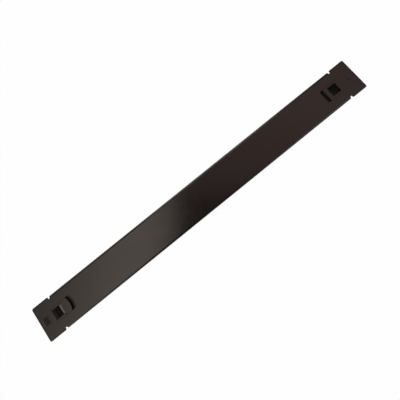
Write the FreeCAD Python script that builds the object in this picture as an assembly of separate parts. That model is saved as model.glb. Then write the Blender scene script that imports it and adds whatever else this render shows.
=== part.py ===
import FreeCAD, Part
import math
import os

from FreeCAD import Vector

# One-unit rack blanking panel, folded from one sheet of steel.
# It lies on the rear edges of its flanges with the front face up: X runs along the panel, Y up its
# height when it is in a rack, and Z out of the front face. All sizes are in millimetres.

# Sheet and overall sizes
panel_length = 482.6
panel_height = 43.65
panel_depth = 11.0
sheet = 1.2
ear_corner_radius = 2.0
edge_break = 0.25

# Flanges: the outer faces lie a little inside the edges of the ears
flange_inset = 0.25
fold_inner_radius = 1.3
flange_corner_radius = 2.0

# Round-bottomed relief notches where the folds stop
left_relief_from_end = 23.8
right_relief_from_end = 23.0
relief_width = 2.7
relief_past_fold = 0.2
relief_mouth_radius = 1.0

# Lanced spring tongues: each has a window, a thin slit along each side, and a slot at its free end with
# a shallow finger dip rolled down in the face along the slot's far edge
window_height = 12.4
window_corner_radius = 0.4
tongue_rail = 2.3
slit_width = 0.25
slit_overrun = 2.0
slot_corner_radius = 0.7
dip_length = 3.3
dip_radius = 12.0

# The left tongue has a round end and the right one a straight end
left_window_from_end = 18.2
left_window_length = 14.4
left_bridge = 9.5
left_slot_width = 2.6
left_tongue_end_radius = 19.0
right_window_from_end = 26.7
right_window_length = 12.1
right_bridge = 5.4
right_slot_width = 3.0

# Lips bent back from the outboard and the inboard edge of the left window
lip_bend_radius = 0.3
lip_clearance = 0.5
lip_corner_radius = 0.8
outboard_lip_angle = 45.0
outboard_lip_length = 2.9
inboard_lip_angle = 22.5
inboard_lip_length = 3.2

# Stepped hook lanced from the left ear, hinged on its outboard edge and sheared free at the sides: it
# passes the square hole in the rack's rail, and its tip runs on behind the rail, leaning towards it
hook_hole_from_end = 3.9
hook_hole_size = 9.3
hook_bend_radius = 1.2
hook_slope_angle = 43.5
hook_tip_lean = 3.5
hook_rail_gap = 2.6
hook_tip_length = 3.0
hook_corner_radius = 1.5

# Shallow round button pressed back from the right ear, for the opposite hole
button_from_end = 8.5
button_mouth_radius = 4.2
button_floor_radius = 1.2
button_rise = 0.2

# How far a cutter runs past the sheet, and how closely an edge is picked by its place
cut_overrun = 1.2
near = 1e-6

# Derived places
face_front = panel_depth
face_back = panel_depth - sheet
end_x = -panel_length / 2
fold_outer_radius = fold_inner_radius + sheet
fold_line_y = panel_height / 2 - flange_inset - fold_outer_radius
flange_length = panel_depth - fold_outer_radius
left_relief_x = end_x + left_relief_from_end
right_relief_x = -end_x - right_relief_from_end
slot_half_height = window_height / 2 + tongue_rail + slit_width
cut_floor = face_back - cut_overrun
cut_height = sheet + 2 * cut_overrun


def prism(x0, x1, y0, y1, z0, z1):
    """A rectangular prism between two corners."""
    return Part.makeBox(x1 - x0, y1 - y0, z1 - z0, Vector(x0, y0, z0))


def round_upright_edges(shape, radius):
    """Rounds the edges of a prism that run along Z."""
    upright = [e for e in shape.Edges if abs(e.tangentAt(e.FirstParameter).z) > 0.99]
    return shape.makeFillet(radius, upright)


def through_sheet(x0, x1, half_height):
    """A prism that cuts the face from front to back, centred on the panel's middle line."""
    return prism(x0, x1, -half_height, half_height, cut_floor, cut_floor + cut_height)


def front_normal(turned):
    """Direction out of the front of a sheet that has turned back from the face by an angle."""
    return Vector(math.sin(turned), 0, math.cos(turned))


def bent_tab(inner_radius, bends, width, corner_radius):
    """A tab that leaves a flat sheet towards +X, through one bend or more.

    The first bend starts at the Y axis on the front face, where the sheet ends, and the tab is centred on
    Y = 0. Each bend is a pair: its angle, which turns the tab back or with a minus to the front again, and
    the straight run after it.
    """
    turned = 0.0
    front_end = Vector(0, -width / 2, face_front)
    back_end = front_end - front_normal(turned) * sheet
    edges = [Part.LineSegment(front_end, back_end).toShape()]
    for angle, run in bends:
        turn = math.radians(angle)
        side = math.copysign(1, turn)
        centre = (back_end if side > 0 else front_end) - front_normal(turned) * inner_radius * side
        ends = []
        for start in (front_end, back_end):
            radius = start.distanceToPoint(centre) * side
            middle, stop = (centre + front_normal(turned + turn * share) * radius for share in (0.5, 1))
            tip = stop + Vector(math.cos(turned + turn), 0, -math.sin(turned + turn)) * run
            edges += [Part.Arc(start, middle, stop).toShape(), Part.LineSegment(stop, tip).toShape()]
            ends.append(tip)
        front_end, back_end = ends
        turned += turn
    edges.append(Part.LineSegment(front_end, back_end).toShape())
    section = Part.Wire(Part.sortEdges(edges)[0])
    tab = Part.Face(section).extrude(Vector(0, width, 0))
    tip = (front_end + back_end) / 2
    tip_edges = [e for e in tab.Edges if abs(e.Length - sheet) < near
                 and math.hypot(e.CenterOfMass.x - tip.x, e.CenterOfMass.z - tip.z) < near]
    return tab.makeFillet(corner_radius, tip_edges)


def flange(side):
    """The folded flange on the upper (side 1) or lower (side -1) edge, as long as the relief span."""
    span = right_relief_x - left_relief_x
    strip = bent_tab(fold_inner_radius, [(90, flange_length)], span, flange_corner_radius)
    strip.rotate(Vector(0, 0, 0), Vector(0, 0, 1), 90 * side)
    strip.translate(Vector((left_relief_x + right_relief_x) / 2, fold_line_y * side, 0))
    return strip


def relief(x, side):
    """A round-bottomed notch cut square to the face, from the edge to just past the fold line."""
    radius = relief_width / 2
    floor_y = fold_line_y - relief_past_fold
    round_y = floor_y + radius
    top = face_front + cut_overrun
    mouth = prism(x - radius, x + radius, round_y, panel_height, -cut_overrun, top)
    notch = mouth.fuse(Part.makeCylinder(radius, top + cut_overrun, Vector(x, round_y, -cut_overrun)))
    return notch if side > 0 else notch.mirror(Vector(0, 0, 0), Vector(0, 1, 0))


def folded_sheet():
    """The flat face with its ears, the two flanges and the four relief notches.

    The edge break starts on the front of both ends and runs on along the smooth outline of the ears.
    """
    half = panel_height / 2
    face = prism(left_relief_x, right_relief_x, -fold_line_y, fold_line_y, face_back, face_front)
    for x0, x1 in ((end_x, left_relief_x), (right_relief_x, -end_x)):
        ear = prism(x0, x1, -half, half, face_back, face_front)
        outer = [e for e in ear.Edges if abs(e.Length - sheet) < near
                 and abs(abs(e.CenterOfMass.x) + end_x) < near]
        face = face.fuse(ear.makeFillet(ear_corner_radius, outer))
    notches = [relief(x, side) for x in (left_relief_x, right_relief_x) for side in (1, -1)]
    folded = face.fuse([flange(1), flange(-1)]).cut(notches).removeSplitter()
    ear_sides = (left_relief_x - relief_width / 2, right_relief_x + relief_width / 2)
    mouths = [e for e in folded.Edges if abs(e.Length - sheet) < near
              and min(abs(e.CenterOfMass.x - x) for x in ear_sides) < near
              and abs(abs(e.CenterOfMass.y) - half) < near]
    folded = folded.makeFillet(relief_mouth_radius, mouths)
    front_ends = [e for e in folded.Edges if abs(abs(e.CenterOfMass.x) + end_x) < near
                  and abs(e.CenterOfMass.z - face_front) < near]
    return folded.makeFillet(edge_break, front_ends)


def slot_cut(tip_x, width, end_radius):
    """The slot at a tongue's free end: a straight one, or an arc round the tongue's rounded end."""
    outer_x = tip_x + width
    if end_radius is None:
        return round_upright_edges(through_sheet(tip_x, outer_x, slot_half_height), slot_corner_radius)
    centre = Vector(tip_x - end_radius, 0, cut_floor)
    ring = Part.makeCylinder(end_radius + width, cut_height, centre)
    ring = ring.cut(Part.makeCylinder(end_radius, cut_height, centre))
    ring = ring.common(through_sheet(centre.x, outer_x, slot_half_height))
    return round_upright_edges(ring, slot_corner_radius)


def slit_reach(tip_x, slot_width, end_radius):
    """X where a side slit ends, halfway across its end of the slot."""
    middle_x = tip_x + slot_width / 2
    if end_radius is None:
        return middle_x
    centre_x = tip_x - end_radius
    return centre_x + math.sqrt((middle_x - centre_x) ** 2 - slot_half_height ** 2)


def finger_dip(tip_x, slot_width, end_radius):
    """The zone cut from the face behind a slot, and the sheet that rolls down through it to the slot.

    The dip follows the slot's far edge between the slot's rounded corners. Its section is an arc that
    leaves the face at the rim, flush, and steepens towards the slot.
    """
    edge_x = tip_x + slot_width
    rim_x = edge_x + dip_length
    half = slot_half_height - slot_corner_radius
    low = face_back - dip_length
    high = face_front + cut_overrun
    places = (rim_x, (edge_x + rim_x) / 2, edge_x)

    def on_roll(radius):
        centre_z = face_front - dip_radius
        return [Vector(x, 0, centre_z + math.sqrt(radius ** 2 - (rim_x - x) ** 2)) for x in places]

    def along_slot(section):
        if end_radius is None:
            section.translate(Vector(0, -half, 0))
            return section.extrude(Vector(0, 2 * half, 0))
        centre = Vector(tip_x - end_radius, 0, 0)
        ring = section.revolve(centre, Vector(0, 0, 1), 360)
        return ring.common(prism(centre.x, rim_x + cut_overrun, -half, half, low, high))

    front = on_roll(dip_radius)
    back = on_roll(dip_radius - sheet)
    roll = Part.Wire([
        Part.Arc(*front).toShape(),
        Part.LineSegment(front[-1], back[-1]).toShape(),
        Part.Arc(*back[::-1]).toShape(),
        Part.LineSegment(back[0], front[0]).toShape(),
    ])
    corners = [Vector(x, 0, z) for x, z in ((edge_x, low), (rim_x, low), (rim_x, high), (edge_x, high))]
    zone = Part.makePolygon(corners + corners[:1])
    return along_slot(Part.Face(zone)), along_slot(Part.Face(roll))


def tongue(window_from_end, window_length, bridge, slot_width, end_radius):
    """Cuts and added sheet of one lanced tongue, at the left end of the panel."""
    window_x = end_x + window_from_end
    tip_x = window_x + window_length + bridge
    window = through_sheet(window_x, window_x + window_length, window_height / 2)
    window = round_upright_edges(window, window_corner_radius)
    slot = slot_cut(tip_x, slot_width, end_radius)
    slit_x = window_x - slit_overrun
    slit_end = slit_reach(tip_x, slot_width, end_radius)
    slits = [prism(slit_x, slit_end, y, y + slit_width, cut_floor, cut_floor + cut_height)
             for y in (slot_half_height - slit_width, -slot_half_height)]
    dip_zone, dip = finger_dip(tip_x, slot_width, end_radius)
    return [window, slot, dip_zone] + slits, [dip]


def window_lips():
    """The lips bent back from the outboard and the inboard edge of the left window."""
    window_x = end_x + left_window_from_end
    width = window_height - 2 * lip_clearance
    bends = ((outboard_lip_angle, outboard_lip_length), (inboard_lip_angle, inboard_lip_length))
    outboard, inboard = (bent_tab(lip_bend_radius, [bend], width, lip_corner_radius) for bend in bends)
    outboard.translate(Vector(window_x, 0, 0))
    inboard.rotate(Vector(0, 0, 0), Vector(0, 0, 1), 180)
    inboard.translate(Vector(window_x + left_window_length, 0, 0))
    return [outboard, inboard]


def hook():
    """The hole in the left ear and the stepped hook bent back from the hole's outboard edge.

    The sloped run is as long as it must be to leave the rail gap between the ear and the foot of the slope.
    """
    x = end_x + hook_hole_from_end
    hole = through_sheet(x, x + hook_hole_size, hook_hole_size / 2)
    slope = math.radians(hook_slope_angle)
    bend_drop = (2 * hook_bend_radius + sheet) * (1 - math.cos(slope))
    slope_run = (sheet + hook_rail_gap - bend_drop) / math.sin(slope)
    bends = [(hook_slope_angle, slope_run), (-hook_slope_angle - hook_tip_lean, hook_tip_length)]
    tab = bent_tab(hook_bend_radius, bends, hook_hole_size, hook_corner_radius)
    tab.translate(Vector(x, 0, 0))
    return [hole], [tab]


def button():
    """The round zone of the right ear that is pressed back, and the dished sheet in its place.

    The dish's section leaves the face in one arc and meets its flat floor in another, the first's mirror.
    """
    x = -end_x - button_from_end
    zone = Part.makeCylinder(button_mouth_radius, cut_height, Vector(x, 0, cut_floor))
    half_run = (button_mouth_radius - button_floor_radius) / 2
    half_drop = button_rise / 2
    arc_radius = (half_run ** 2 + half_drop ** 2) / (2 * half_drop)
    half_turn = math.asin(half_run / arc_radius) / 2
    along = arc_radius * math.sin(half_turn)
    down = arc_radius * (1 - math.cos(half_turn))

    def section_edges(top):
        mouth = Vector(x + button_mouth_radius, 0, top)
        middle = mouth - Vector(half_run, 0, half_drop)
        floor = mouth - Vector(2 * half_run, 0, 2 * half_drop)
        centre = Vector(x, 0, floor.z)
        return [Part.Arc(mouth, mouth - Vector(along, 0, down), middle).toShape(),
                Part.Arc(middle, floor + Vector(along, 0, down), floor).toShape(),
                Part.LineSegment(floor, centre).toShape()]

    front = section_edges(face_front)
    back = section_edges(face_back)
    wall = [Part.LineSegment(front[-1].Vertexes[-1].Point, back[-1].Vertexes[-1].Point).toShape(),
            Part.LineSegment(back[0].Vertexes[0].Point, front[0].Vertexes[0].Point).toShape()]
    section = Part.Wire(Part.sortEdges(front + wall + back)[0])
    dish = Part.Face(section).revolve(Vector(x, 0, 0), Vector(0, 0, 1), 360)
    return [zone], [dish]


def build_panel():
    """The whole panel as one solid."""
    body = folded_sheet()
    left = tongue(left_window_from_end, left_window_length, left_bridge, left_slot_width,
                  left_tongue_end_radius)
    left[1].extend(window_lips())
    right = tongue(right_window_from_end, right_window_length, right_bridge, right_slot_width, None)
    for shape in right[0] + right[1]:
        shape.rotate(Vector(0, 0, 0), Vector(0, 0, 1), 180)
    for cuts, added in (left, right, hook(), button()):
        body = body.cut(cuts).fuse(added)
    return body.removeSplitter()


os.makedirs("parts", exist_ok=True)
panel = build_panel()
print("valid", panel.isValid(), "solids", len(panel.Solids), "volume", round(panel.Volume, 1))
print("box", panel.BoundBox)
panel.exportStep("parts/panel.step")
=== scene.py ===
"""Looks of a one-unit rack blanking panel: black satin powder coat on one folded steel sheet.

The panel lies face up on a pale paper floor and is seen from above, turned across the picture. The
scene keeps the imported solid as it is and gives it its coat, its floor, its light and its camera.
"""

import logging
import math
from dataclasses import dataclass
from enum import Enum

import bpy
import numpy as np
from mathutils import Matrix, Vector

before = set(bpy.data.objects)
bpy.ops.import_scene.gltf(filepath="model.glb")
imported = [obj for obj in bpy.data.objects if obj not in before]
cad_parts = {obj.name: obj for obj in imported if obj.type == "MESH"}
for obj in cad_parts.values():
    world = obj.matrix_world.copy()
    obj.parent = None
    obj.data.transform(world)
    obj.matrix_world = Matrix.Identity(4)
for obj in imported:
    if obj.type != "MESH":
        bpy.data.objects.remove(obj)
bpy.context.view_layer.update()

Colour = tuple[float, float, float]
Point = tuple[float, float, float]
Span = tuple[float, float]
Socket = bpy.types.NodeSocket

WHITE: Colour = (1.0, 1.0, 1.0)

log = logging.getLogger("blanking_panel")


class LampRole(Enum):
    """What each lamp does in the panel's satin face."""

    LEFT_SHEEN = "left_sheen"
    RIGHT_SHEEN = "right_sheen"
    TOP_FOLD_GLINT = "top_fold_glint"
    BEHIND_FILL = "behind_fill"
    FRONT_FILL = "front_fill"


class NodeSheet:
    """A material, lamp or world node tree with short calls to add and join nodes.

    The Mix node has sockets of the same names for every type of data, so those for colours go by number.
    """

    MIX_SHARE = 0
    MIX_COLOURS = (6, 7)
    MIX_RESULT = 2

    def __init__(self, tree: bpy.types.NodeTree) -> None:
        """Empties the tree.

        Args:
            tree: The node tree to fill.
        """
        self.tree = tree
        tree.nodes.clear()

    def add(self, kind: str, **values: object) -> bpy.types.Node:
        """Adds one node and sets its properties and unlinked inputs.

        Args:
            kind: Blender's node type name.
            values: Properties by name, or input values by socket name with spaces as underscores.

        Returns:
            The new node.
        """
        node = self.tree.nodes.new(kind)
        for name, value in values.items():
            if hasattr(node, name):
                setattr(node, name, value)
            else:
                node.inputs[name.replace("_", " ")].default_value = value
        return node

    def join(self, source: Socket, target: Socket) -> None:
        """Links an output to an input."""
        self.tree.links.new(source, target)

    def math(self, operation: str, *operands: Socket | float) -> Socket:
        """Adds a Math node.

        Args:
            operation: The Math node's operation.
            operands: Its operands in order, each a socket or a number.

        Returns:
            The result's socket.
        """
        node = self.add("ShaderNodeMath", operation=operation)
        for target, operand in zip(node.inputs, operands):
            if isinstance(operand, Socket):
                self.join(operand, target)
            else:
                target.default_value = operand
        return node.outputs[0]

    def noise(self, place: Socket, size: float, detail: float, roughness: float) -> Socket:
        """Adds a noise texture.

        Args:
            place: The coordinates.
            size: The size of its grains, in metres.
            detail: The octaves of finer noise.
            roughness: The share that each finer octave keeps.

        Returns:
            The noise's socket, from 0 to 1.
        """
        node = self.add("ShaderNodeTexNoise", Scale=1 / size, Detail=detail, Roughness=roughness)
        self.join(place, node.inputs["Vector"])
        return node.outputs["Fac"]

    def fall(self, value: Socket, span: Span) -> Socket:
        """Adds a smooth fall from 1 to 0.

        Args:
            value: The value that it depends on.
            span: The value up to which it is 1, and the value from which it is 0.

        Returns:
            The result's socket.
        """
        node = self.add("ShaderNodeMapRange", interpolation_type="SMOOTHSTEP", From_Min=span[0],
                        From_Max=span[1], To_Min=1.0, To_Max=0.0)
        self.join(value, node.inputs["Value"])
        return node.outputs["Result"]

    def blend(self, share: Socket, first: Colour, second: Colour) -> Socket:
        """Adds a blend of two colours.

        Args:
            share: The second colour's share.
            first: The first colour.
            second: The second colour.

        Returns:
            The blended colour's socket.
        """
        node = self.add("ShaderNodeMix", data_type="RGBA")
        self.join(share, node.inputs[self.MIX_SHARE])
        for number, colour in zip(self.MIX_COLOURS, (first, second)):
            node.inputs[number].default_value = (*colour, 1.0)
        return node.outputs[self.MIX_RESULT]

    def mix(self, share: Socket, first: Socket, second: Socket) -> Socket:
        """Adds a mix of two shaders.

        Args:
            share: The second shader's share.
            first: The first shader.
            second: The second shader.

        Returns:
            The mixed shader's socket.
        """
        node = self.add("ShaderNodeMixShader")
        for source, target in zip((share, first, second), node.inputs):
            self.join(source, target)
        return node.outputs["Shader"]

    def end(self, kind: str, surface: Socket) -> None:
        """Adds the output node of a kind and joins the finished surface to it."""
        self.join(surface, self.add(kind).inputs["Surface"])


@dataclass(frozen=True)
class PowderCoat:
    """Black satin powder coat: a warm black whose shade, gloss and surface vary a little.

    Lengths are in metres. The shade drifts in broad clouds, the gloss in smaller ones, and the surface
    has the fine peel of a baked powder with a few dust nibs.
    """

    name: str = "black_powder_coat"
    dark: Colour = (0.0074, 0.0054, 0.0054)
    light: Colour = (0.0098, 0.0074, 0.0072)
    cloud_size: float = 0.060
    roughness: Span = (0.175, 0.22)
    gloss_size: float = 0.014
    gloss_span: Span = (0.3, 0.7)
    peel_size: float = 0.0016
    peel_depth: float = 0.000006
    nib_size: float = 0.0040
    nib_span: Span = (0.02, 0.09)
    edge_radius: float = 0.00025

    def material(self) -> bpy.types.Material:
        """Builds the coat's node tree.

        Returns:
            The material.
        """
        made = bpy.data.materials.new(self.name)
        made.use_nodes = True
        sheet = NodeSheet(made.node_tree)
        place = sheet.add("ShaderNodeTexCoord").outputs["Object"]

        clouds = sheet.noise(place, self.cloud_size, detail=3.0, roughness=0.55)
        gloss = sheet.noise(place, self.gloss_size, detail=4.0, roughness=0.6)
        rough = sheet.add("ShaderNodeMapRange", From_Min=self.gloss_span[0], From_Max=self.gloss_span[1],
                          To_Min=self.roughness[0], To_Max=self.roughness[1])
        sheet.join(gloss, rough.inputs["Value"])

        peel = sheet.noise(place, self.peel_size, detail=2.0, roughness=0.5)
        nibs = sheet.add("ShaderNodeTexVoronoi", Scale=1 / self.nib_size)
        sheet.join(place, nibs.inputs["Vector"])
        surface = sheet.math("ADD", peel, sheet.fall(nibs.outputs["Distance"], self.nib_span))
        soft_edge = sheet.add("ShaderNodeBevel", samples=4, Radius=self.edge_radius)
        bump = sheet.add("ShaderNodeBump", Strength=1.0, Distance=self.peel_depth)
        sheet.join(surface, bump.inputs["Height"])
        sheet.join(soft_edge.outputs["Normal"], bump.inputs["Normal"])

        coat = sheet.add("ShaderNodeBsdfPrincipled")
        sheet.join(sheet.blend(clouds, self.dark, self.light), coat.inputs["Base Color"])
        sheet.join(rough.outputs["Result"], coat.inputs["Roughness"])
        sheet.join(bump.outputs["Normal"], coat.inputs["Normal"])
        sheet.end("ShaderNodeOutputMaterial", coat.outputs["BSDF"])
        return made


@dataclass(frozen=True)
class FloorPaper:
    """White seamless paper that keeps a faint real shadow and shows as a white ground.

    Under the panel its colour is painted dark and its white glow is taken away, a painted shade, so that
    the panel's cut-outs look into the dark. The painted shade ends softly between two half lengths and two
    half widths, in metres.
    """

    name: str = "white_seamless_paper"
    colour: Colour = (0.95, 0.95, 0.95)
    # painted shade under the panel: its dark colour, and where it ends along and across the panel
    painted_shade_colour: Colour = (0.038, 0.037, 0.038)
    painted_shade_length: Span = (0.2400, 0.2475)
    painted_shade_width: Span = (0.0090, 0.0212)
    glow_share: float = 0.98
    fibre_size: float = 0.004
    fibre_depth: float = 0.00002
    fibre_strength: float = 0.3

    def shade(self, sheet: NodeSheet, place: Socket) -> Socket:
        """How far a place lies in the painted shade under the panel: the product of one smooth fall along
        each axis.

        Args:
            sheet: The paper's node tree.
            place: The place's coordinates.

        Returns:
            The share, from 0 in the open to 1 under the panel.
        """
        split = sheet.add("ShaderNodeSeparateXYZ")
        sheet.join(place, split.inputs[0])
        falls = [sheet.fall(sheet.math("ABSOLUTE", split.outputs[axis]), span)
                 for axis, span in (("X", self.painted_shade_length), ("Y", self.painted_shade_width))]
        return sheet.math("MULTIPLY", *falls)

    def material(self) -> bpy.types.Material:
        """Builds the paper: matt white, with a share of plain white for seen and mirrored rays, and a
        painted shade under the panel that darkens the matt and takes the white away.

        Returns:
            The material.
        """
        made = bpy.data.materials.new(self.name)
        made.use_nodes = True
        sheet = NodeSheet(made.node_tree)
        place = sheet.add("ShaderNodeTexCoord").outputs["Object"]
        # share of the painted shade under the panel
        shade = self.shade(sheet, place)
        bump = sheet.add("ShaderNodeBump", Strength=self.fibre_strength, Distance=self.fibre_depth)
        fibres = sheet.noise(place, self.fibre_size, detail=3.0, roughness=0.5)
        sheet.join(fibres, bump.inputs["Height"])
        matt = sheet.add("ShaderNodeBsdfDiffuse")
        # painted shade: the matt colour turns dark under the panel
        sheet.join(sheet.blend(shade, self.colour, self.painted_shade_colour), matt.inputs["Color"])
        sheet.join(bump.outputs["Normal"], matt.inputs["Normal"])
        glow = sheet.add("ShaderNodeEmission", Strength=1.0)

        rays = sheet.add("ShaderNodeLightPath")
        seen = sheet.math("MAXIMUM", rays.outputs["Is Camera Ray"], rays.outputs["Is Glossy Ray"])
        seen = sheet.math("MAXIMUM", seen, rays.outputs["Is Transmission Ray"])
        # painted shade: the white glow is taken away under the panel
        in_the_open = sheet.math("SUBTRACT", 1.0, shade)
        share = sheet.math("MULTIPLY", sheet.math("MULTIPLY", seen, self.glow_share), in_the_open)
        mix = sheet.mix(share, matt.outputs["BSDF"], glow.outputs["Emission"])
        sheet.end("ShaderNodeOutputMaterial", mix)
        return made


def flat_grid(name: str, half_x: float, half_y: float, height: float, steps: int) -> bpy.types.Object:
    """A flat sheet facing up, as a grid.

    Each point is (u times half_x, v times half_y, height), with u and v from -1 to 1.

    Args:
        name: The object's name.
        half_x: Half the sheet's length along X, in metres.
        half_y: Half the sheet's width along Y, in metres.
        height: Its height.
        steps: Cells along each side.

    Returns:
        The linked object, at the origin.
    """
    u, v = np.meshgrid(np.linspace(-1, 1, steps + 1), np.linspace(-1, 1, steps + 1), indexing="ij")
    points = np.stack([u * half_x, v * half_y, np.full_like(u, height)], axis=-1).reshape(-1, 3)
    index = np.arange((steps + 1) ** 2).reshape(steps + 1, steps + 1)
    corners = [index[:-1, :-1], index[1:, :-1], index[1:, 1:], index[:-1, 1:]]
    quads = np.stack(corners, axis=-1).reshape(-1, 4)
    mesh = bpy.data.meshes.new(name)
    mesh.from_pydata(points.tolist(), [], quads.tolist())
    made = bpy.data.objects.new(name, mesh)
    bpy.context.scene.collection.objects.link(made)
    return made


@dataclass
class BlankingPanel:
    """The folded panel itself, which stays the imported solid."""

    node: str = "panel"
    finish: PowderCoat = PowderCoat()

    def dress(self) -> bpy.types.Object:
        """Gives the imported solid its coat.

        Returns:
            The panel's object.
        """
        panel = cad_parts[self.node]
        coat = self.finish.material()
        for slot in panel.material_slots:
            slot.material = coat
        return panel


@dataclass
class Floor:
    """The paper floor."""

    half_size: float = 4.0
    cells: int = 8
    paper: FloorPaper = FloorPaper()

    def lay(self) -> bpy.types.Object:
        """Lays the paper.

        Returns:
            The floor's object.
        """
        ground = flat_grid("paper_floor", self.half_size, self.half_size, 0.0, self.cells)
        ground.data.materials.append(self.paper.material())
        return ground


@dataclass(frozen=True)
class Softbox:
    """A rectangular lamp, set by its brightness as a surface, where 1 is white paper's.

    Its brightness rises across its width by a power, from the share that fade gives on the first side,
    until it is full at a share of the width. Its tint can turn to another one towards its foot.
    """

    role: LampRole
    centre: Point
    aim: Point
    width: float
    height: float
    brightness: float
    tint: Colour
    turn: float = 0.0
    fade: float = 1.0
    full_from: float = 1.0
    power: float = 1.0
    foot_tint: Colour | None = None
    foot_from: float = 0.5

    def colour_surface(self, lamp: bpy.types.Light) -> None:
        """Sets how the brightness and the tint run over the lamp's surface.

        Args:
            lamp: The lamp's data.
        """
        lamp.use_nodes = True
        sheet = NodeSheet(lamp.node_tree)
        place = sheet.add("ShaderNodeSeparateXYZ")
        sheet.join(sheet.add("ShaderNodeNewGeometry").outputs["Parametric"], place.inputs[0])
        share = sheet.add("ShaderNodeMapRange", From_Max=self.full_from)
        sheet.join(place.outputs["X"], share.inputs["Value"])
        rise = sheet.math("POWER", share.outputs["Result"], self.power)
        foot = sheet.add("ShaderNodeMapRange", From_Max=self.foot_from, To_Min=1.0, To_Max=0.0)
        sheet.join(place.outputs["Y"], foot.inputs["Value"])
        tint = sheet.blend(foot.outputs["Result"], self.tint, self.foot_tint or self.tint)
        glow = sheet.add("ShaderNodeEmission")
        sheet.join(tint, glow.inputs["Color"])
        sheet.join(sheet.math("ADD", sheet.math("MULTIPLY", rise, 1.0 - self.fade), self.fade),
                   glow.inputs["Strength"])
        sheet.end("ShaderNodeOutputLight", glow.outputs["Emission"])

    def hang(self) -> bpy.types.Object:
        """Places the lamp, facing its aim and turned about that line.

        Returns:
            The lamp's object.
        """
        lamp = bpy.data.lights.new(self.role.value, "AREA")
        lamp.shape = "RECTANGLE"
        lamp.size = self.width
        lamp.size_y = self.height
        lamp.energy = self.brightness * math.pi * self.width * self.height
        self.colour_surface(lamp)
        made = bpy.data.objects.new(self.role.value, lamp)
        line = Vector(self.aim) - Vector(self.centre)
        turned = line.to_track_quat("-Z", "Y").to_matrix() @ Matrix.Rotation(math.radians(self.turn), 3, "Z")
        made.matrix_world = Matrix.Translation(Vector(self.centre)) @ turned.to_4x4()
        made.visible_camera = False
        bpy.context.scene.collection.objects.link(made)
        return made


@dataclass(frozen=True)
class StudioRoom:
    """Light from the room: a low pale wall, brighter on one side, then a dim upper wall and a dark ceiling.

    Heights are those of a direction of length 1. Where the camera looks past the floor, the room is plain
    white, and mirrored rays meet that white near the horizon.
    """

    name: str = "studio_room"
    tint: Colour = (1.0, 0.92, 0.86)
    horizon: Span = (0.03, 0.10)
    wall: float = 0.65
    lean: float = 1.95
    bright_side: tuple[float, float] = (-0.95, 0.31)
    wall_top: Span = (0.13, 0.27)
    upper_wall: float = 0.10
    upper_wall_top: Span = (0.45, 0.80)
    ceiling: float = 0.04

    def light(self) -> bpy.types.World:
        """Builds the world: brightness falls from the walls to the ceiling with the direction's height.

        Returns:
            The world.
        """
        world = bpy.data.worlds.new(self.name)
        world.use_nodes = True
        sheet = NodeSheet(world.node_tree)
        split = sheet.add("ShaderNodeSeparateXYZ")
        sheet.join(sheet.add("ShaderNodeTexCoord").outputs["Generated"], split.inputs[0])
        along_x, along_y = (sheet.math("MULTIPLY", split.outputs[axis], side * self.lean)
                            for axis, side in zip("XY", self.bright_side))
        walls = sheet.math("ADD", sheet.math("ADD", along_x, along_y), self.wall)
        walls = sheet.math("MULTIPLY", sheet.fall(split.outputs["Z"], self.wall_top),
                           sheet.math("MAXIMUM", walls, 0.0))
        upper = sheet.math("MULTIPLY", sheet.fall(split.outputs["Z"], self.upper_wall_top), self.upper_wall)
        room = sheet.add("ShaderNodeBackground", Color=(*self.tint, 1.0))
        sheet.join(sheet.math("ADD", sheet.math("ADD", walls, upper), self.ceiling), room.inputs["Strength"])
        ground = sheet.add("ShaderNodeBackground", Color=(*WHITE, 1.0), Strength=1.0)

        rays = sheet.add("ShaderNodeLightPath")
        mirrored = sheet.math("MAXIMUM", rays.outputs["Is Glossy Ray"], rays.outputs["Is Transmission Ray"])
        mirrored = sheet.math("MULTIPLY", mirrored, sheet.fall(split.outputs["Z"], self.horizon))
        seen = sheet.math("MAXIMUM", rays.outputs["Is Camera Ray"], mirrored)
        mix = sheet.mix(seen, room.outputs["Background"], ground.outputs["Background"])
        sheet.end("ShaderNodeOutputWorld", mix)
        bpy.context.scene.world = world
        return world


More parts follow.
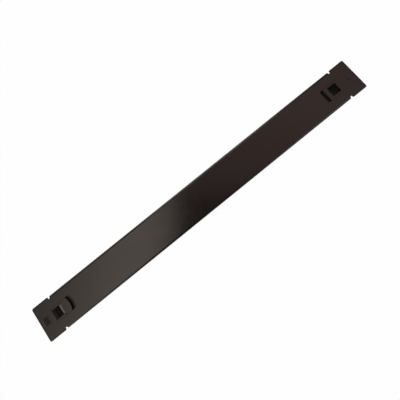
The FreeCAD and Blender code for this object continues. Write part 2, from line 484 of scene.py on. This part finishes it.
@dataclass(frozen=True)
class PhotoCamera:
    """The camera at the photograph's angle: nearly square above the face, turned across the picture."""

    name: str = "photo_camera"
    place: Point = (0.02398, 0.00009, 0.35380)
    right: Point = (0.78125, -0.61894, -0.08100)
    back: Point = (-0.03339, -0.17102, 0.98470)
    sensor: float = 36.0
    lens: float = 25.2
    shift: tuple[float, float] = (0.015, -0.15)
    clip: Span = (0.01, 50.0)

    def stand(self) -> bpy.types.Object:
        """Makes the camera and gives it to the scene.

        Returns:
            The camera's object.
        """
        data = bpy.data.cameras.new(self.name)
        data.sensor_width = self.sensor
        data.lens = self.lens
        data.shift_x, data.shift_y = self.shift
        data.clip_start, data.clip_end = self.clip
        made = bpy.data.objects.new(self.name, data)
        back = Vector(self.back).normalized()
        up = back.cross(Vector(self.right)).normalized()
        turned = Matrix((up.cross(back), up, back)).transposed()
        made.matrix_world = Matrix.Translation(Vector(self.place)) @ turned.to_4x4()
        bpy.context.scene.collection.objects.link(made)
        bpy.context.scene.camera = made
        return made


PANEL_MIDDLE: Point = (0.0, 0.0, 0.0)
FILL_TINT: Colour = (1.0, 0.97, 0.92)

LAMPS = (
    Softbox(LampRole.LEFT_SHEEN, centre=(-1.196, 0.0, 1.211), aim=(-1.196, 0.0, 0.0), width=1.39, height=1.5,
            brightness=1.75, tint=(1.0, 0.87, 0.76), turn=-41.0, fade=0.05, full_from=0.80, power=2.3),
    Softbox(LampRole.RIGHT_SHEEN, centre=(0.573, 0.070, 1.211), aim=(0.573, 0.070, 0.0), width=1.0,
            height=1.3, brightness=0.735, tint=(1.0, 0.655, 0.61), turn=46.0, fade=0.55, full_from=0.54,
            foot_tint=(0.36, 0.50, 0.42), foot_from=0.28),
    Softbox(LampRole.TOP_FOLD_GLINT, centre=(0.02, 1.6, 0.14), aim=PANEL_MIDDLE, width=1.0, height=0.22,
            brightness=6.6, tint=FILL_TINT),
    Softbox(LampRole.BEHIND_FILL, centre=(0.1, 0.95, 1.25), aim=PANEL_MIDDLE, width=1.1, height=0.9,
            brightness=1.6, tint=FILL_TINT),
    Softbox(LampRole.FRONT_FILL, centre=(0.9, -0.95, 1.25), aim=PANEL_MIDDLE, width=1.4, height=0.9,
            brightness=1.2, tint=FILL_TINT),
)


def main() -> None:
    """Dresses the panel, lays the floor, hangs the lamps, stands the camera and reports each."""
    logging.basicConfig(level=logging.INFO, format="%(name)s: %(message)s")
    bpy.context.scene.view_settings.view_transform = "Standard"
    log.info("piece %s", BlankingPanel().dress().name)
    log.info("stage %s", Floor().lay().name)
    for lamp in LAMPS:
        log.info("lamp %s", lamp.hang().name)
    log.info("world %s", StudioRoom().light().name)
    log.info("camera %s", PhotoCamera().stand().name)


if __name__ == "__main__":
    main()
